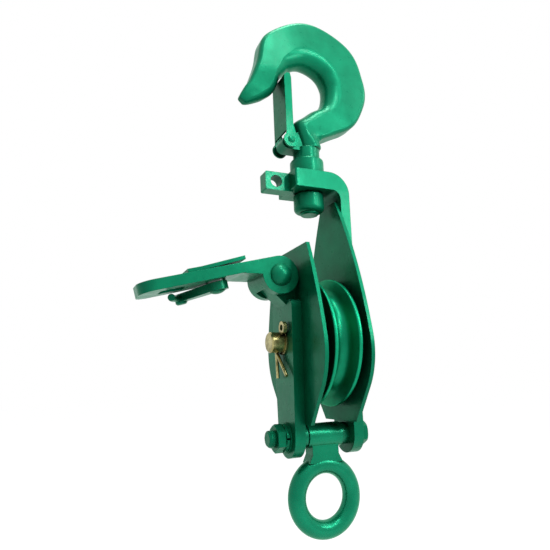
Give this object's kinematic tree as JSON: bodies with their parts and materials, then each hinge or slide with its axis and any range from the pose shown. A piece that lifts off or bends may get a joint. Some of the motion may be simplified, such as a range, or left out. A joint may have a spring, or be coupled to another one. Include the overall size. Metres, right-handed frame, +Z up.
{
  "type": "snatch block",
  "caption": "Snatch block for wire rope: grooved sheave between cheek plates, swivel hook with safety latch, hinged side strap with lock lever, and a becket ring.",
  "frame": {"origin": "seat at the top of the hook's bowl, where the block hangs on its anchor, in the block's middle plane", "axes": "+Z up along the swivel, +X along the sheave axle towards the fixed strap, +Y away from the viewer"},
  "size_m": [0.2018, 0.101, 0.4276],
  "materials": {
    "green_enamel": "gloss green enamel over forged and cut steel",
    "yellow_zinc": "yellow passivated zinc, slightly iridescent",
    "bare_steel": "bright steel",
    "bronze": "turned bearing bronze"
  },
  "bodies": {
    "hook_side": {"hook": "green_enamel", "swivel_collar": "green_enamel", "swivel_nut": "green_enamel", "nut_pin": "green_enamel", "latch_pin": "bare_steel"},
    "latch": {"safety_latch": "green_enamel", "latch_spring": "bare_steel"},
    "frame": {"fixed_strap": "green_enamel", "right_cheek": "green_enamel", "left_cheek": "green_enamel", "lower_strap": "green_enamel", "hinge_pin": "green_enamel", "axle": "yellow_zinc", "axle_washer": "yellow_zinc", "split_pin": "yellow_zinc", "becket_bolt": "green_enamel", "becket_nut": "green_enamel", "becket_spring_washer": "green_enamel", "becket_washer": "green_enamel", "becket_spacer_right": "green_enamel", "becket_spacer_left": "green_enamel"},
    "opening_side": {"opening_strap": "green_enamel", "guard_plate": "green_enamel", "lock_rivet": "green_enamel", "lock_washer": "bare_steel"},
    "lock": {"lock_lever": "green_enamel"},
    "wheel": {"sheave": "green_enamel", "sheave_bush": "bronze"},
    "becket": {"becket_eye": "green_enamel"}
  },
  "joints": [
    {"name": "hook_swivel", "type": "hinge", "parent": "hook_side", "child": "frame", "pos_m": [0, 0, -0.11], "axis": [0, 0, 1], "continuous": true},
    {"name": "latch_hinge", "type": "hinge", "parent": "hook_side", "child": "latch", "pos_m": [-0.0194, 0, -0.0756], "axis": [0, 1, 0], "range_deg": [0, 27], "stiffness_Nm_per_rad": 0.035, "springref_deg": -34.38},
    {"name": "sheave_spin", "type": "hinge", "parent": "frame", "child": "wheel", "pos_m": [0, 0, -0.241], "axis": [1, 0, 0], "continuous": true},
    {"name": "strap_hinge", "type": "hinge", "parent": "frame", "child": "opening_side", "pos_m": [-0.0359, 0, -0.1912], "axis": [0, 1, 0], "range_deg": [-40, 103.5]},
    {"name": "lock_swing", "type": "hinge", "parent": "opening_side", "child": "lock", "pos_m": [-0.08063, 0, -0.20194], "axis": [0.2334, 0, -0.9724], "range_deg": [-26, 25]},
    {"name": "becket_swing", "type": "hinge", "parent": "frame", "child": "becket", "pos_m": [0, 0, -0.3115], "axis": [1, 0, 0], "range_deg": [-90, 90]}
  ]
}
